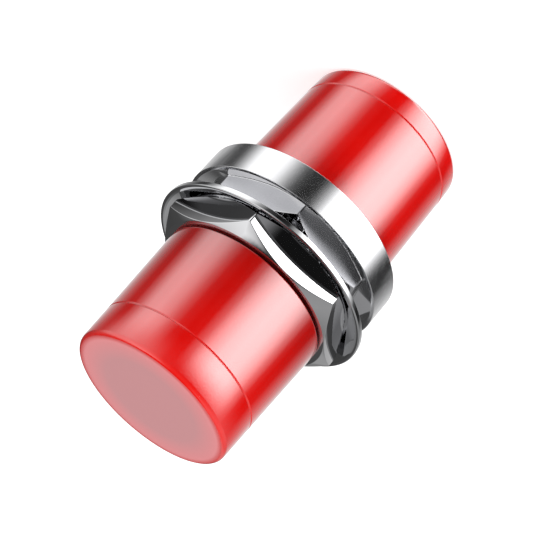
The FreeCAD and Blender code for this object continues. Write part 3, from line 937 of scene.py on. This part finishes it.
sleeve_section = eased([
    (SLEEVE_BORE + SLEEVE_LEAD, SLEEVE_LOW, 0.03),
    (SLEEVE_RADIUS, SLEEVE_LOW, 0.05),
    (SLEEVE_RADIUS, SLEEVE_HIGH, 0.05),
    (SLEEVE_BORE + SLEEVE_LEAD, SLEEVE_HIGH, 0.03),
    (SLEEVE_BORE, SLEEVE_HIGH - SLEEVE_LEAD, 0.05),
    (SLEEVE_BORE, SLEEVE_LOW + SLEEVE_LEAD, 0.05),
])
sleeve_mesh = skin("slit_sleeve", lambda angle: sleeve_section, directions())
slit = block("slit", (-SLIT_HALF, 0.0, SLEEVE_LOW - OVERCUT), (SLIT_HALF, SLIT_OUTER, SLEEVE_HIGH + OVERCUT))
sleeve_mesh = carved(sleeve_mesh, slit, "DIFFERENCE")
place("slit_sleeve", sleeve_mesh, CERAMIC, "alignment_sleeve", "body")

# %% [markdown]
# ## The panel nut
# A thin nut with both faces bevelled, so it can go on either way round. Its flats are polished and its
# corners a little rounded by tumbling. The bevels are cones, so they rise in a curve across each flat, and
# the thread runs out into a countersink at both faces.

# %% Make the nut
NUT_LOW, NUT_HIGH = ends_of("panel_nut")
NUT_WIDTH = 10.91
NUT_FACE_RADIUS = 5.43
NUT_BEVEL = math.tan(math.radians(38))
NUT_CORNER = math.radians(30 + 14.7)
NUT_CORNER_ROUND = 0.14
NUT_CREST_RADIUS = 3.62
NUT_ROOT_RADIUS = 4.03
NUT_COUNTERSINK = 0.3


def nut_thread_radius(depth, height):
    """an inside thread that runs out into the countersink at both faces"""
    full = NUT_CREST_RADIUS + (NUT_ROOT_RADIUS - NUT_CREST_RADIUS) * depth
    from_face = min(height - NUT_LOW, NUT_HIGH - height)
    return max(full, NUT_ROOT_RADIUS + NUT_COUNTERSINK - from_face)


def nut_section(angle):
    """the nut's half section: bevel, flat, bevel, and the thread back down"""
    side = hex_radius(angle, NUT_CORNER, NUT_WIDTH, NUT_CORNER_ROUND)
    drop = (side - NUT_FACE_RADIUS) * NUT_BEVEL
    thread = thread_rows(angle, NUT_LOW, NUT_HIGH, nut_thread_radius)
    return eased([
        (NUT_FACE_RADIUS, NUT_LOW, 0.03),
        (side, NUT_LOW + drop, 0.06),
        (side, NUT_HIGH - drop, 0.06),
        (NUT_FACE_RADIUS, NUT_HIGH, 0.03),
        *reversed(thread),
    ])


nut_mesh = skin("hex_nut", nut_section, directions(corners_of(NUT_CORNER)), helical=True)
place("hex_nut", nut_mesh, NUT_NICKEL, "panel_nut", "nut")

# %% [markdown]
# ## The lock washer
# A ring of spring steel, dished like a shallow bowl, with twelve inner teeth that are twisted out of its
# plane so that their corners bite. The ring is turned like the rest: a flat land that the nut presses on,
# and a cone that rises from it to the rim.

# %% Turn the washer's ring
WASHER_THICK = 0.35
LAND_RADIUS = 5.45
BEND_RADIUS = 5.63
RIM_RADIUS = 6.65
DISH = math.radians(30)
RIM_OUTSIDE = RIM_RADIUS + WASHER_THICK * math.sin(DISH)
RIM_EDGE = 0.05
RIM_SLOPE_IN, RIM_SLOPE_DOWN = 0.14, 0.055

rim_top = NUT_LOW + (RIM_RADIUS - BEND_RADIUS) * math.tan(DISH)
ring_section = eased([
    (LAND_RADIUS, NUT_LOW - WASHER_THICK, 0.05),
    (BEND_RADIUS + WASHER_THICK * math.tan(DISH / 2), NUT_LOW - WASHER_THICK, 0.5),
    (RIM_OUTSIDE, rim_top - WASHER_THICK * math.cos(DISH), 0.03),
    (RIM_OUTSIDE, rim_top - RIM_EDGE, 0.03),
    (RIM_OUTSIDE - RIM_EDGE, rim_top, 0.05),
    (RIM_RADIUS, rim_top, 0.12),
    (RIM_RADIUS - RIM_SLOPE_IN, rim_top - RIM_SLOPE_DOWN, 0.20),
    (BEND_RADIUS, NUT_LOW, 0.25),
    (LAND_RADIUS, NUT_LOW, 0.05),
])
washer_mesh = skin("dished_washer", lambda angle: ring_section, directions())

# %% [markdown]
# ## The washer's teeth
# Each tooth is a rounded bar that narrows, drops and twists on its way in. That is a loft: the bar's
# outline stands at five stations from root to tip, each a little further changed, and faces join them.
# The roots reach into the ring, so one Boolean joins all twelve teeth to it.

# %% Twist the teeth and join them to the ring
TEETH = 12
TOOTH_STATIONS = 5
TOOTH_ROOT, TOOTH_TIP = 5.51, 4.10
TOOTH_ROOT_WIDTH, TOOTH_TIP_WIDTH = 1.9, 1.35
TOOTH_TWIST = math.radians(11)
TOOTH_DROP = 0.155
TOOTH_EDGE = 0.05


def tooth_outline(width):
    """a rounded bar seen along its length"""
    half, flat = width / 2, WASHER_THICK / 2
    return eased([(half, -flat, TOOTH_EDGE), (half, flat, TOOTH_EDGE),
                  (-half, flat, TOOTH_EDGE), (-half, -flat, TOOTH_EDGE)])


def add_tooth(work, turn):
    """one twisted tooth, closed at both ends, turned about the axis to its place"""
    rings = []
    for station in range(TOOTH_STATIONS):
        share = station / (TOOTH_STATIONS - 1)
        radius = TOOTH_ROOT + (TOOTH_TIP - TOOTH_ROOT) * share
        width = TOOTH_ROOT_WIDTH + (TOOTH_TIP_WIDTH - TOOTH_ROOT_WIDTH) * share
        middle = NUT_LOW - WASHER_THICK / 2 - TOOTH_DROP * share
        ring = []
        for spot, _ in tooth_outline(width):
            leaning = Matrix.Rotation(TOOTH_TWIST * share, 2) @ spot
            placed_at = Vector((leaning.x, -radius, middle + leaning.y)) * MM
            ring.append(work.verts.new(Matrix.Rotation(turn, 3, "Z") @ placed_at))
        rings.append(ring)
    faces = []
    for near_ring, far_ring in zip(rings, rings[1:]):
        for index in range(len(near_ring)):
            following = (index + 1) % len(near_ring)
            around = (near_ring[index], near_ring[following], far_ring[following], far_ring[index])
            faces.append(work.faces.new(around))
    faces += [work.faces.new(rings[0]), work.faces.new(rings[-1])]
    bmesh.ops.recalc_face_normals(work, faces=faces)


work = bmesh.new()
for count in range(TEETH):
    add_tooth(work, math.tau * count / TEETH)
all_teeth = bpy.data.meshes.new("all_teeth")
work.to_mesh(all_teeth)
work.free()
washer_mesh = carved(washer_mesh, all_teeth, "UNION")
place("dished_washer", washer_mesh, SPRING_STEEL, "lock_washer", "washer")

# %% [markdown]
# ## Last look at the size
# Dressing a part must not change how big it is, so the box round everything is measured again and written
# next to the engineering model's own.

# %% Compare the boxes and finish
made_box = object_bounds()
for label, box in (("engineering model", cad_box), ("dressed model", made_box)):
    print(label, [round((high_end - low_end) / MM, 3) for low_end, high_end in zip(*box)], "mm")
